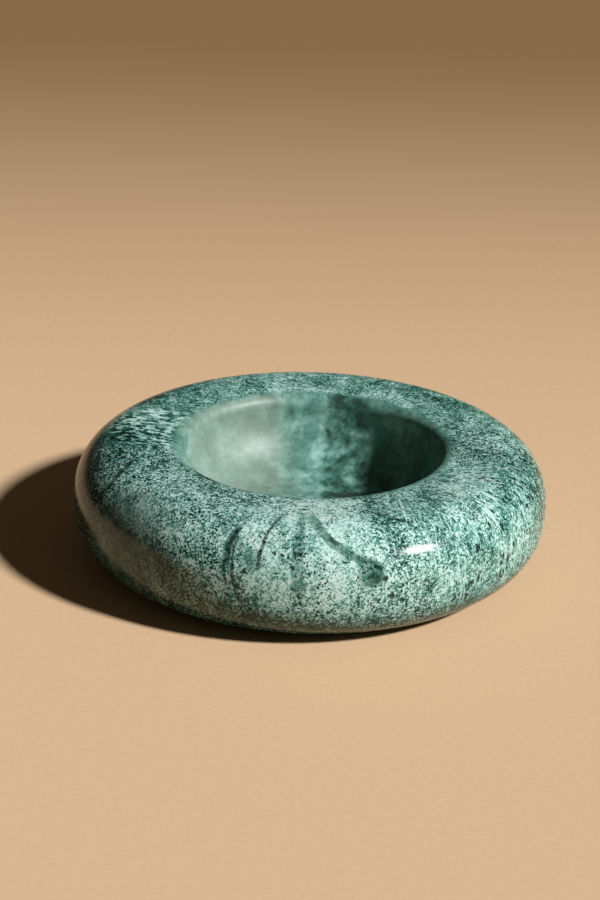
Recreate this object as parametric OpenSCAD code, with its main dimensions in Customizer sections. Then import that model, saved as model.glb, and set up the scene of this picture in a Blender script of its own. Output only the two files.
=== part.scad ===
// Ring dish turned from one block of green marble, standing on four soft stick-on pads.
// Millimetres, +Z up. The origin is on the dish's axis, on the surface that the pads rest on.

/* [Stone] */
// Outside diameter of the ring
outer_d = 110; // [96:1:140]
// Height of the stone from its ground base to the crest of the ring
stone_h = 26.5; // [25:0.5:34]
// Radius of the round shoulder between the side and the crest
shoulder_r = 12; // [6:0.5:13]
// Radius of the round foot between the side and the base
foot_r = 11.5; // [4:0.5:12]

/* [Hollow] */
// Diameter of the hollow's mouth
mouth_d = 60; // [50:1:74]
// Radius of the soft round on the mouth's edge
lip_r = 3; // [1:0.5:5]
// Fall of the ring's top from its crest in to the mouth's edge
lip_drop = 0.3; // [0.2:0.1:1.2]
// Run of the hollow's curved wall from the mouth in to its flat bottom
wall_run = 15; // [10:0.5:22]
// Thickness of the stone under the hollow
floor_t = 8.5; // [5:0.5:12]

/* [Pads] */
// Diameter of each stick-on pad
pad_d = 10; // [6:0.5:12]
// Thickness of each pad
pad_t = 1; // [0.8:0.1:2.4]
// Round on the free edge of each pad
pad_edge_r = 0.3; // [0.1:0.1:0.6]
// Distance from the rim of the base's flat in to each pad's edge
pad_inset = 8.5; // [2:0.5:14]

/* [Hidden] */
$fn = 96;
// Facets of the one long shallow curve, and how deep each curve's region reaches into the core
crown_fn = 720;
bind = 0.5;

outer_r = outer_d / 2;
mouth_r = mouth_d / 2;
foot_c = [outer_r - foot_r, foot_r];
shoulder_c = [outer_r - shoulder_r, stone_h - shoulder_r];
lip_c = [mouth_r + lip_r, stone_h - lip_drop - lip_r];
floor_r = mouth_r - wall_run;
pad_reach = foot_c[0] - pad_inset - pad_d / 2;

// Radius of the arc that starts level and ends smoothly on a round of radius r, whose centre lies
// run along from that start and rise off its level. r is negative where the two bend opposite ways.
// It is taken down to a whole thousandth, so that the arc's level end lies exactly on its start.
function level_arc_r(run, rise, r) =
    floor((run * run + rise * rise - r * r) / (2 * (rise - r)) * 1000) / 1000;
function unit(v) = v / norm(v);

// The ring's top leaves the crest level and runs into the lip, and the hollow's wall leaves the lip
// and runs level into the flat bottom, so the outline has no corner from the base to the bottom
crown_r = level_arc_r(shoulder_c[0] - lip_c[0], stone_h - lip_c[1], lip_r);
crown_c = [shoulder_c[0], stone_h - crown_r];
wall_r = level_arc_r(lip_c[0] - floor_r, lip_c[1] - floor_t, -lip_r);
wall_c = [floor_r, floor_t + wall_r];

// Places where two curves of the outline meet
crest = [shoulder_c[0], stone_h];
crown_end = lip_c + lip_r * unit(lip_c - crown_c);
lip_end = lip_c + lip_r * unit(wall_c - lip_c);
floor_edge = [floor_r, floor_t];

// Slice of a disc between the radii to two points of its rim, reaching a little way into the core
module arc_cap(centre, r, from, to, facets = $fn) {
    a = unit(from - centre);
    b = unit(to - centre);
    intersection() {
        translate(centre) circle(r, $fn = facets);
        polygon([from - bind * a, to - bind * b, to + r / 2 * b, from + r / 2 * a]);
    }
}

// Half of the dish's section. The core follows the radii at the lip and stays inside the curves, the
// wall is cut into it as one round, and the lip's round comes last, over the corner that is left.
module stone_section() {
    to_wall_centre = unit(wall_c - lip_c);
    difference() {
        union() {
            polygon([
                [0, 0], [foot_c[0], 0], [outer_r, foot_c[1]], [outer_r, shoulder_c[1]], crest,
                crown_end - bind / 2 * unit(crown_end - crown_c), lip_c,
                lip_end + bind * to_wall_centre, floor_edge + [0, bind], floor_edge, [0, floor_t]
            ]);
            arc_cap(foot_c, foot_r, [foot_c[0], 0], [outer_r, foot_c[1]]);
            arc_cap(shoulder_c, shoulder_r, [outer_r, shoulder_c[1]], crest);
            arc_cap(crown_c, crown_r, crest, crown_end, crown_fn);
        }
        intersection() {
            translate(wall_c) circle(wall_r);
            translate([floor_r, 0]) square([mouth_r, stone_h]);
        }
    }
    translate(lip_c) circle(lip_r);
}

// Thick ring with a round hollow, turned and polished from one piece, and ground flat underneath
module dish() {
    color([0.36, 0.57, 0.50]) translate([0, 0, pad_t]) rotate_extrude() stone_section();
}

// Soft disc stuck to the stone's base; side is -1 for left, and depth is -1 for front
module pad(side, depth) {
    color([0.80, 0.81, 0.78]) translate(pad_reach * unit([side, depth, 0])) rotate_extrude() {
        translate([0, pad_edge_r]) square([pad_d / 2, pad_t - pad_edge_r]);
        square([pad_d / 2 - pad_edge_r, pad_t]);
        translate([pad_d / 2 - pad_edge_r, pad_edge_r]) circle(pad_edge_r);
    }
}

dish();
pad(-1, -1);  // pad_front_left
pad(1, -1);  // pad_front_right
pad(-1, 1);  // pad_back_left
pad(1, 1);  // pad_back_right
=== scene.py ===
import math

import bpy
from mathutils import Matrix, Vector


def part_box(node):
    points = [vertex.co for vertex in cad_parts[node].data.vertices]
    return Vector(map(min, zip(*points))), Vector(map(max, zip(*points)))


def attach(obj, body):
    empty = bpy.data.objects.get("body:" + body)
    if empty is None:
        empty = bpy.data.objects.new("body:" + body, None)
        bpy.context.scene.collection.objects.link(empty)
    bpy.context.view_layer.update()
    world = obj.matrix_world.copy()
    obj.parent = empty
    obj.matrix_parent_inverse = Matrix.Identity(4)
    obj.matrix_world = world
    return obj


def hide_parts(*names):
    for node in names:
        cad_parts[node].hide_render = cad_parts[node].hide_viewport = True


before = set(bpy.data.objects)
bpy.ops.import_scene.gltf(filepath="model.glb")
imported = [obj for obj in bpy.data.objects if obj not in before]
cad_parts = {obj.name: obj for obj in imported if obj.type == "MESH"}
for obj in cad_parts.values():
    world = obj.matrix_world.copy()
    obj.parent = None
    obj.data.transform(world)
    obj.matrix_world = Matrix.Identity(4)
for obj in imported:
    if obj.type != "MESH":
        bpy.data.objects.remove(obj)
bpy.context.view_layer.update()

# Ring dish. A thick ring of green marble round a deep hollow, cut from one block, turned
# to shape, ground and polished all over. Nothing is glued or let in: it is one piece.
MM = 0.001
stone_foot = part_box("dish")[0].z
stone_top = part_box("dish")[1].z
outer_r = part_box("dish")[1].x
foot_r = 11.5 * MM
shoulder_r = 12 * MM
mouth_r = 30 * MM
lip_r = 3 * MM
lip_drop = 0.3 * MM
hollow_floor_r = 15 * MM
hollow_floor_z = stone_foot + 8.5 * MM
steps_round = 288


def polar(centre, point):
    """The angle, in the plane of the profile, at which a point lies round an arc's centre."""
    return math.atan2(point.y - centre.y, point.x - centre.x)


def level_arc_r(run, rise, r):
    """Radius of an arc that starts level and ends tangent to a circle of radius r, run and rise away."""
    return (run * run + rise * rise - r * r) / (2 * (rise - r))


foot_c = Vector((outer_r - foot_r, stone_foot + foot_r))
shoulder_c = Vector((outer_r - shoulder_r, stone_top - shoulder_r))
lip_c = Vector((mouth_r + lip_r, stone_top - lip_drop - lip_r))
crown_r = level_arc_r(shoulder_c.x - lip_c.x, stone_top - lip_c.y, lip_r)
crown_c = Vector((shoulder_c.x, stone_top - crown_r))
wall_r = level_arc_r(lip_c.x - hollow_floor_r, lip_c.y - hollow_floor_z, -lip_r)
wall_c = Vector((hollow_floor_r, hollow_floor_z + wall_r))
crown_end = lip_c + lip_r * (lip_c - crown_c).normalized()
lip_end = lip_c + lip_r * (wall_c - lip_c).normalized()

bpy.ops.object.select_all(action="DESELECT")
bpy.ops.mesh.primitive_plane_add(size=MM, location=(0, 0, 0))
dish = bpy.context.object
dish.name = dish.data.name = "turned_dish"
bpy.ops.object.mode_set(mode="EDIT")
bpy.ops.mesh.merge(type="CENTER")
bpy.ops.transform.translate(value=(0, 0, stone_foot))
# The profile is drawn from the middle of the foot outwards, over the ring and down into the
# hollow: straight runs are extruded, and each arc is the last point spun round its centre.
corner = Vector((0, stone_foot))


def run_to(point, steps):
    """Draws a straight run of the profile to a point (distance from the axis, height)."""
    global corner
    move = (point - corner) / steps
    for _ in range(steps):
        bpy.ops.mesh.extrude_region_move(TRANSFORM_OT_translate={"value": (move.x, 0, move.y)})
    corner = point


def arc_to(centre, point, steps):
    """Draws an arc of the profile round a centre, from where the profile ends to a point."""
    global corner
    sweep = polar(centre, point) - polar(centre, corner)
    sweep = (sweep + math.pi) % (2 * math.pi) - math.pi
    bpy.ops.mesh.spin(steps=steps, angle=sweep, center=(centre.x, 0, centre.y), axis=(0, 1, 0))
    corner = point


run_to(Vector((foot_c.x, stone_foot)), 6)
arc_to(foot_c, Vector((outer_r, foot_c.y)), 20)
run_to(Vector((outer_r, shoulder_c.y)), 2)
arc_to(shoulder_c, Vector((shoulder_c.x, stone_top)), 20)
arc_to(crown_c, crown_end, 8)
arc_to(lip_c, lip_end, 14)
arc_to(wall_c, Vector((hollow_floor_r, hollow_floor_z)), 22)
run_to(Vector((0, hollow_floor_z)), 6)
bpy.ops.mesh.select_all(action="SELECT")
bpy.ops.mesh.spin(steps=steps_round, angle=2 * math.pi, center=(0, 0, 0), axis=(0, 0, 1))
bpy.ops.mesh.select_all(action="SELECT")
bpy.ops.mesh.remove_doubles(threshold=0.005 * MM)
bpy.ops.mesh.normals_make_consistent(inside=False)
bpy.ops.object.mode_set(mode="OBJECT")
bpy.ops.object.shade_smooth()


class Wire:
    """One output of a shader node. Sums on wires add the Math nodes that work them out."""

    def __init__(self, tree, socket):
        self.tree = tree
        self.socket = socket

    def node(self, kind, settings, sockets, output=0):
        """Adds a node, sets it up, feeds its sockets, and gives the wire of one output."""
        made = self.tree.nodes.new(kind)
        for name, value in settings.items():
            if name == "stops":
                while len(made.color_ramp.elements) < len(value):
                    made.color_ramp.elements.new(0.5)
                for stop, (place, colour) in zip(made.color_ramp.elements, value):
                    stop.position, stop.color = place, (*colour, 1)
            else:
                setattr(made, name, value)
        for place, value in sockets.items():
            if isinstance(value, Wire):
                self.tree.links.new(value.socket, made.inputs[place])
            else:
                made.inputs[place].default_value = value
        return Wire(self.tree, made.outputs[output])

    def maths(self, operation, *others):
        return self.node("ShaderNodeMath", {"operation": operation}, dict(enumerate((self, *others))))

    def vector(self, operation, other=None, output=0):
        """Vector Math on this wire; a number as other is used as a scale."""
        sockets = {0: self}
        if operation == "SCALE":
            sockets[3] = other
        elif other is not None:
            sockets[1] = other
        return self.node("ShaderNodeVectorMath", {"operation": operation}, sockets, output)

    def __add__(self, other):
        return self.maths("ADD", other)

    def __radd__(self, other):
        return self.maths("ADD", other)

    def __sub__(self, other):
        return self.maths("SUBTRACT", other)

    def __rsub__(self, other):
        return self.node("ShaderNodeMath", {"operation": "SUBTRACT"}, {0: other, 1: self})

    def __mul__(self, other):
        return self.maths("MULTIPLY", other)

    def __rmul__(self, other):
        return self.maths("MULTIPLY", other)

    def __pow__(self, other):
        return self.maths("POWER", other)

    def __abs__(self):
        return self.maths("ABSOLUTE")

    def rise(self, low, high):
        """0 where the wire is below low, 1 above high, with a soft step between them."""
        settings = {"interpolation_type": "SMOOTHSTEP"}
        if low < high:
            return self.node("ShaderNodeMapRange", settings, {0: self, 1: low, 2: high})
        return self.node("ShaderNodeMapRange", settings, {0: self, 1: high, 2: low, 3: 1.0, 4: 0.0})

    def tint(self, colour, amount):
        """This colour mixed towards another by an amount from 0 to 1."""
        settings = {"data_type": "RGBA", "blend_type": "MIX"}
        return self.node("ShaderNodeMix", settings, {0: amount, 6: self, 7: colour}, 2)


def noise(place, grain, detail=2.0, rough=0.5, output=0):
    """Noise on a place in millimetres, with bumps about one grain apart."""
    sockets = {"Vector": place, "Scale": 1 / grain, "Detail": detail, "Roughness": rough}
    return place.node("ShaderNodeTexNoise", {"noise_dimensions": "3D"}, sockets, output)


def cells(place, grain, feature="F1", output=0, loose=1.0):
    """Voronoi cells on a place in millimetres, about one grain wide."""
    sockets = {"Vector": place, "Scale": 1 / grain, "Randomness": loose}
    return place.node("ShaderNodeTexVoronoi", {"feature": feature}, sockets, output)


def linear(red, green, blue):
    """The shader's own values for a colour that a screen shows as these 0 to 255 levels."""
    return tuple(((c / 255 + 0.055) / 1.055) ** 2.4 if c > 10 else c / 255 / 12.92 for c in (red, green, blue))


def new_material(name):
    """An empty node material, its shader and the wire of the Object coordinates in millimetres."""
    material = bpy.data.materials.new(name)
    material.use_nodes = True
    tree = material.node_tree
    shader = tree.nodes["Principled BSDF"]
    where = tree.nodes.new("ShaderNodeTexCoord")
    return material, shader, Wire(tree, where.outputs["Object"]).vector("SCALE", 1000.0)


def feed(shader, name, wire):
    wire.tree.links.new(wire.socket, shader.inputs[name])


marble, marble_shader, place = new_material("polished_green_marble")


def shaken(place, grain, reach, detail=1.0):
    """A place pushed about by up to half of reach, in swirls one grain apart."""
    push = noise(place, grain, detail, 0.5, 1).vector("SUBTRACT", (0.5, 0.5, 0.5))
    return place.vector("ADD", push.vector("SCALE", reach))


def turned(place, degrees, drawn_out):
    """A place on axes turned about the third one, with bumps drawn out so many times along each."""
    sockets = {"Vector": place, "Rotation": (0, 0, math.radians(degrees)), "Scale": drawn_out}
    return place.node("ShaderNodeMapping", {"vector_type": "TEXTURE"}, sockets)


def near(place, middle, reach, soft):
    """1 near a point of the stone, fading to 0 over a soft edge at its reach."""
    return place.vector("DISTANCE", middle, 1).rise(reach + soft / 2, reach - soft / 2)


drifted = shaken(place, 30, 12, 1)
flow = shaken(drifted, 6, 1.6, 1)
rough_place = shaken(place, 0.8, 0.9)
wavy = shaken(place, 7, 1.2, 1)

# The view plane: across the dish, and up as seen from the front. A crack that runs back
# through the stone keeps its line there, so it is drawn as an arc through three points.
slope = math.radians(23.6)
traced = shaken(place, 3.2, 1.1, 2)


def as_seen(place):
    """A place laid on to the view plane: across it, and up it."""
    sockets = {
        "X": place.vector("DOT_PRODUCT", (1, 0, 0), 1),
        "Y": place.vector("DOT_PRODUCT", (0, math.sin(slope), math.cos(slope)), 1),
    }
    return place.node("ShaderNodeCombineXYZ", {}, sockets)


face = as_seen(traced)
near_side = place.vector("DOT_PRODUCT", (0, -math.cos(slope), math.sin(slope)), 1).rise(18, 23)


def arc_line(a, b, c, wide, beyond=1.0):
    """A thin line along the arc through three points of the view plane, fading at its ends."""
    ab, bc = Vector(b) - Vector(a), Vector(c) - Vector(b)
    mid_ab, mid_bc = (Vector(a) + Vector(b)) / 2, (Vector(b) + Vector(c)) / 2
    turn = ab.x * bc.y - ab.y * bc.x
    reach = ((mid_bc - mid_ab).dot(bc)) / turn
    centre = mid_ab + reach * Vector((-ab.y, ab.x))
    radius = (Vector(a) - centre).length
    middle = (Vector(a) + Vector(c)) / 2
    half = (Vector(c) - Vector(a)).length / 2
    off_line = abs(face.vector("DISTANCE", (*centre, 0), 1) - radius)
    ends = face.vector("DISTANCE", (*middle, 0), 1).rise(half + beyond, half - beyond)
    return off_line.rise(wide, wide * 0.35) * ends * near_side


# Broad tone: clouds, and sheets that stand upright along the dish's front to back.
cloud = noise(drifted, 20, 3, 0.55)
sheet = noise(turned(flow, 12, (1.0, 2.4, 2.0)), 4.6, 4, 0.6)
blotch = noise(flow, 3.4, 4, 0.62)

# Grain: crystals about half a millimetre wide, each of its own tone, and a finer dust.
crystal_pick = cells(rough_place, 0.50, output=1)
crystal = crystal_pick.node("ShaderNodeSeparateColor", {}, {0: crystal_pick})
dust = noise(place, 0.40, 1, 0.6)
mottle = noise(wavy, 1.2, 3, 0.68)
ridge = noise(turned(as_seen(wavy), 52, (4.5, 1.0, 1.0)), 0.9, 2, 0.6)

# Zones of this stone: what lies where, in millimetres from the middle of the table face. Some of them are painted
# shade, highlight or reflection, as said at each.
pale_front = near(flow, (-1, -49, 24), 17, 12)
fan_side = near(flow, (37, -28, 22), 22, 12)
flake_side = near(flow, (-38, 7, 26), 13, 7)
green_left = near(flow, (-30, -29, 26), 13, 10)
teal_back = near(flow, (-33, 27, 27), 10, 8)
# Painted shade: the left flank, turned away from the lamp, is darkened. A few more dark specks are let in there too.
painted_shade_and_specks_left = near(flow, (-55, -10, 13), 21, 14)
dark_right = near(flow, (52, -10, 21), 8, 8)
inside = near(place, (0, 0, 27), 32.4, 2.4)
behind = place.vector("DOT_PRODUCT", (0, 1, 0), 1).rise(-4, 24)
veil = inside.maths("MAXIMUM", behind * 0.6)
upright_x = shaken(place, 5, 3.0, 2).vector("DOT_PRODUCT", (1, 0, 0), 1)
hollow_band = inside * upright_x.rise(1.5, 4.0) * upright_x.rise(15.5, 12.0)
hollow_streak = inside * abs(upright_x - 2.4).rise(1.6, 0.3)
# Painted shade: the right of the hollow, in the shadow of its lip, is darkened.
painted_shade_hollow_right = near(flow, (24, 4, 14), 15, 12)
# Painted highlight: the left wall of the hollow, which faces the lamp, is lightened and greyed.
painted_highlight_hollow_left = near(flow, (-19, 17, 18), 17, 12) * inside
# Painted reflection: a dull grey patch on the lower left flank, with its grain toned down.
painted_reflection_left = near(flow, (-39, -36, 16), 11, 12)
# Painted shade: the stone darkens towards its foot, whose faces turn down, away from the lamp.
low = place.vector("DOT_PRODUCT", (0, 0, 1), 1).rise(13, 4)

# Fibres fan out over the right front, in upright planes through one line inside the lip.
fan_line = (16.5, -18.0)
straying = shaken(place, 9, 1.2, 1)
aside = straying.vector("DOT_PRODUCT", (1, 0, 0), 1) - fan_line[0]
ahead = straying.vector("DOT_PRODUCT", (0, 1, 0), 1) - fan_line[1]
fan_place = place.node(
    "ShaderNodeCombineXYZ",
    {},
    {
        "X": ahead.maths("ARCTAN2", aside) * 22.0,
        "Y": (aside * aside + ahead * ahead) ** 0.5 * 0.34,
        "Z": place.vector("DOT_PRODUCT", (0, 0, 0.34), 1),
    },
)
fibre_place = turned(fan_place, 0, (1.0, 4.0, 4.0))
fan = noise(fibre_place, 0.9, 2, 0.6)
flake = noise(turned(shaken(place, 2.6, 2.0, 2), -24, (2.2, 1.0, 1.0)), 1.3, 3, 0.6).rise(0.42, 0.58)
flake_side = flake_side * (1.0 - inside)
hollow_tone = noise(shaken(place, 14, 7, 1), 6, 2, 0.5) * 0.75 + noise(shaken(place, 4, 2.4, 1), 1.9, 2, 0.55) * 0.55

tone = (
    0.56
    + (cloud - 0.5) * 0.7
    + (sheet - 0.5) * 0.7 * (1.0 - fan_side * 0.4)
    + (blotch - 0.5) * 0.8 * (1.0 - fan_side * 0.4)
    + pale_front * 0.20
    - green_left * 0.03
    - teal_back * 0.14
    - painted_shade_and_specks_left * 0.30
    - dark_right * 0.14
    - low * 0.20
)
grain = (crystal - 0.5) * 0.60 + (dust - 0.5) * 1.8 + (mottle - 0.5) * 0.75
grain = grain * (1.1 - veil * 0.75) * (1.0 - fan_side * 0.35) * (1.0 - painted_reflection_left * 0.4) * (1.0 - flake_side * 0.7)
grain = grain * (1.0 - pale_front * 0.38) + pale_front * (ridge - 0.5) * 0.55
hollow_tone = (
    0.50
    + (hollow_tone - 0.65) * 0.9
    - painted_shade_hollow_right * 0.20
    - hollow_band * (0.15 + (0.5 - blotch) * 1.1)
    + hollow_streak * 0.09
    + painted_highlight_hollow_left * 0.06
)
tone = (tone + grain) * (1.0 - inside) + hollow_tone * inside
tone = tone + fan_side * (fan - 0.46) * 0.55 + flake_side * (flake - 0.55) * 0.58
marble_colour = tone.node(
    "ShaderNodeValToRGB",
    {
        "stops": [
            (0.05, linear(4, 26, 21)),
            (0.24, linear(22, 70, 59)),
            (0.42, linear(66, 120, 106)),
            (0.56, linear(106, 156, 143)),
            (0.72, linear(150, 194, 183)),
            (0.95, linear(204, 233, 225)),
        ]
    },
    {0: tone},
)

# Clear green matter that fills some of the cracks and stains the crystals beside them.
stain = (
    noise(turned(flow, 8, (1.0, 2.4, 2.0)), 6, 3, 0.6).rise(0.56, 0.70) * 0.4 * (1.0 - inside)
    + near(flow, (-13, -51, 20), 3.2, 3.5)
    + arc_line((-1.5, 8), (-2.2, 0), (-1.5, -9), 2.0, 2.5) * 0.75
    + arc_line((0.2, 8.2), (5.4, 2.6), (16.0, -2.4), 1.5, 1.5)
    + near(traced, (13.5, -52.5, 18.8), 3.0, 2.6)
    + arc_line((-14.6, 5.6), (-17.2, 1.0), (-17.4, -3.0), 1.3, 1.0)
).rise(0.05, 1.0)
marble_colour = marble_colour.tint((*linear(50, 110, 94), 1), stain * (1.0 - crystal * 0.3) * 0.85)
deep = near(traced, (14.5, -52.3, 18.4), 2.0, 1.6) + arc_line((2.0, 6.0), (7.5, 1.6), (15.8, -2.6), 0.8, 1.5)
marble_colour = marble_colour.tint((*linear(16, 62, 50), 1), deep * blotch.rise(0.40, 0.56) * 0.85)

# Dark crystals, as crowded as the room noise lets them be.
calm = near(flow, (22, -43, 21), 11, 12)
room = noise(flow, 6, 3, 0.6) * 0.9 - 0.47 + painted_shade_and_specks_left * 0.04 - fan_side * 0.10 - calm * 0.10 + stain * 0.08
for home, grain_size, least, spread in (
    (rough_place, 1.35, 0.05, 0.15),
    (rough_place, 0.85, 0.07, 0.22),
    (rough_place, 0.58, 0.08, 0.28),
    (fan_place, 0.9, 0.20, 0.30),
):
    distance = cells(home, grain_size)
    pick = cells(home, grain_size, output=1)
    chance = pick.node("ShaderNodeSeparateColor", {}, {0: pick})
    speck = (chance * spread + least + room - distance).rise(-0.01, 0.05) * (1.0 - veil * 0.85)
    if home is fan_place:
        speck = speck * fan_side * (1.0 - calm * 0.6)
    marble_colour = marble_colour.tint((*linear(10, 38, 32), 1), speck * 0.92)

# Cracks: dark ones that were filled long ago, and pale calcite threads.
wander = noise(shaken(place, 6, 4, 2), 15, 1, 0.4)
crack = abs(wander - 0.5).rise(0.009, 0.003) * noise(place, 7, 2).rise(0.54, 0.62) * (1.0 - pale_front)
for a, b, c, wide in (
    ((-14.7, 5.4), (-16.6, 2.0), (-17.3, -1.6), 0.80),
    ((-16.9, 0.0), (-17.7, -3.4), (-16.9, -7.4), 0.42),
    ((-15.0, 3.4), (-16.2, -3.0), (-14.0, -10.6), 0.50),
    ((-5.7, 8.2), (-9.3, 3.0), (-10.6, -3.4), 0.50),
    ((-33.8, 3.4), (-33.5, 0.4), (-32.6, -2.8), 0.26),
    ((-20.6, 7.9), (-18.8, 7.3), (-17.0, 6.2), 0.20),
    ((-39.6, 20.0), (-44.2, 14.4), (-48.7, 8.1), 0.62),
    ((13.6, 9.2), (15.0, 9.0), (16.4, 8.4), 0.36),
    ((17.0, 8.0), (19.5, 8.1), (22.0, 7.2), 0.36),
    ((-25.6, 16.6), (-23.6, 16.2), (-20.5, 14.8), 0.55),
):
    crack = crack.maths("MAXIMUM", arc_line(a, b, c, wide))
broken = (dust * 0.5 + mottle * 0.6).rise(0.62, 0.44)
marble_colour = marble_colour.tint((*linear(8, 36, 30), 1), crack * (0.72 + broken * 0.28))
# Clumps of dark crystals by the hollow's edge at the right.
clump = cells(rough_place, 0.75).rise(0.42, 0.30) * (
    arc_line((22.5, 16.6), (27.0, 15.8), (33.0, 12.6), 1.7, 2.0)
    + arc_line((34.0, 13.4), (37.6, 9.4), (39.4, 4.4), 1.7, 2.0)
)
marble_colour = marble_colour.tint((*linear(14, 48, 40), 1), clump.rise(0.1, 0.9) * 0.9)
for middle, size in (
    ((16.7, -52.2, 17.7), 0.60),
    ((18.2, -51.9, 13.5), 0.70),
    ((-13.5, -52.8, 18.8), 0.65),
    ((-3.2, -53.9, 20.4), 0.60),
    ((-5.5, -52.4, 22.6), 0.50),
    ((-7.2, -52.0, 22.8), 0.45),
    ((-22.5, -22.6, 27.2), 1.1),
):
    spot = near(rough_place, middle, size, 0.35)
    marble_colour = marble_colour.tint((*linear(8, 32, 27), 1), spot * 0.9)
thread = abs(noise(fibre_place, 1.5, 0, 0.4) - 0.5).rise(0.030, 0.008) * fan_side * sheet.rise(0.42, 0.56)
marble_colour = marble_colour.tint((*linear(196, 226, 217), 1), thread * 0.75)

# The outside has a hard wax polish. The hollow and its lip are only satin ground.
# Painted reflection: the lower left flank is tinted grey.
marble_colour = marble_colour.tint((*linear(84, 98, 94), 1), painted_reflection_left * 0.45)
# The hollow is greyed a little as satin ground, and its left wall much more, as a painted highlight.
marble_colour = marble_colour.tint((*linear(128, 140, 128), 1), inside * (0.10 + painted_highlight_hollow_left * 0.60))
feed(marble_shader, "Base Color", marble_colour)
marble_shader.inputs["Specular IOR Level"].default_value = 0.0
marble_shader.inputs["Coat Weight"].default_value = 0.75
marble_shader.inputs["Coat Roughness"].default_value = 0.17
marble_shader.inputs["Coat IOR"].default_value = 1.42
satin = marble_colour.node(
    "ShaderNodeBsdfPrincipled",
    {},
    {"Base Color": marble_colour, "Roughness": 0.46, "Specular IOR Level": 0.4},
)
ground = satin.node(
    "ShaderNodeMixShader",
    {},
    {0: inside, 1: Wire(marble.node_tree, marble_shader.outputs["BSDF"]), 2: satin},
)
feed(marble.node_tree.nodes["Material Output"], "Surface", ground)
dish.data.materials.append(marble)
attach(dish, "root")
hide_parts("dish")

# Four soft pads. Clear polyurethane discs with their own adhesive, pressed on to the ground
# foot of the stone so that it neither slides nor scratches the table.
pad_material, pad_shader, pad_place = new_material("frosted_clear_pad")
haze = noise(pad_place, 0.9, 3, 0.6)
pad_colour = haze.node(
    "ShaderNodeValToRGB",
    {"stops": [(0.2, linear(196, 198, 190)), (0.8, linear(216, 218, 212))]},
    {0: haze},
)
feed(pad_shader, "Base Color", pad_colour)
pad_shader.inputs["Roughness"].default_value = 0.45
for name in ("pad_front_left", "pad_front_right", "pad_back_left", "pad_back_right"):
    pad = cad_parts[name]
    pad.data.materials.clear()
    pad.data.materials.append(pad_material)

# Table top that the dish stands on: a plain warm pale board, out to where no view sees its edge.
floor_half = 20.0
bpy.ops.object.select_all(action="DESELECT")
bpy.ops.mesh.primitive_plane_add(size=2 * floor_half, location=(0, 0, 0))
table = bpy.context.object
table.name = table.data.name = "table_top"
table_material, table_shader, table_place = new_material("warm_pale_board")
paper = noise(table_place, 1.2, 3, 0.6)
table_colour = paper.node(
    "ShaderNodeValToRGB",
    {"stops": [(0.3, linear(219, 184, 146)), (0.7, linear(224, 190, 152))]},
    {0: paper},
)
# Painted shade: the board darkens towards the back, as if the lamp's light fell off there.
distance_back = table_place.vector("DOT_PRODUCT", (0, 1, 0), 1)
table_colour = table_colour.tint((*linear(126, 92, 56), 1), distance_back.rise(0, 560) * 0.9)
# For all rays but camera, glossy and transmission rays the board is darker: it bounces less light, which deepens the
# shade on the stone near it.
paths = table_shader.id_data.nodes.new("ShaderNodeLightPath")
seen = Wire(table_shader.id_data, paths.outputs["Is Camera Ray"])
for kind in ("Is Glossy Ray", "Is Transmission Ray"):
    seen = seen.maths("MAXIMUM", Wire(table_shader.id_data, paths.outputs[kind]))
table_colour = table_colour.tint((*linear(120, 96, 72), 1), (1.0 - seen) * 0.85)
feed(table_shader, "Base Color", table_colour)
table_shader.inputs["Roughness"].default_value = 0.85
table_shader.inputs["Specular IOR Level"].default_value = 0.2
table.data.materials.append(table_material)

# Studio light: one small far softbox at the right, a little to the front, and a dim even room.
key_direction = Vector((0.697, -0.377, 0.610)).normalized()
key_spread = 6.1
key_strength = 4.7
bpy.ops.object.light_add(type="SUN", location=key_direction)
key = bpy.context.object
key.name = "far_softbox"
key.data.angle = math.radians(key_spread)
key.data.energy = key_strength
key.rotation_euler = key_direction.to_track_quat("Z", "Y").to_euler()
room = bpy.data.worlds.new("room")
bpy.context.scene.world = room
room.use_nodes = True
room.node_tree.nodes["Background"].inputs["Color"].default_value = (*linear(236, 214, 184), 1)
room.node_tree.nodes["Background"].inputs["Strength"].default_value = 0.05

# Camera at the photograph's viewing angle, a little over half a metre from the dish.
camera_place = Vector((0, -0.50385, 0.23478))
camera_yaw, camera_pitch, camera_roll = 0.295, -22.594, 1.561
camera_lens = 93.945
frame_height = 36.0
bpy.ops.object.camera_add()
camera = bpy.context.object
camera.name = "camera"
camera.matrix_world = (
    Matrix.Translation(camera_place)
    @ Matrix.Rotation(math.radians(camera_yaw), 4, "Z")
    @ Matrix.Rotation(math.radians(90 + camera_pitch), 4, "X")
    @ Matrix.Rotation(math.radians(camera_roll), 4, "Z")
)
camera.data.sensor_fit = "VERTICAL"
camera.data.sensor_height = frame_height
camera.data.lens = camera_lens
camera.data.clip_end = 100.0
bpy.context.scene.camera = camera
bpy.context.scene.view_settings.view_transform = "Standard"
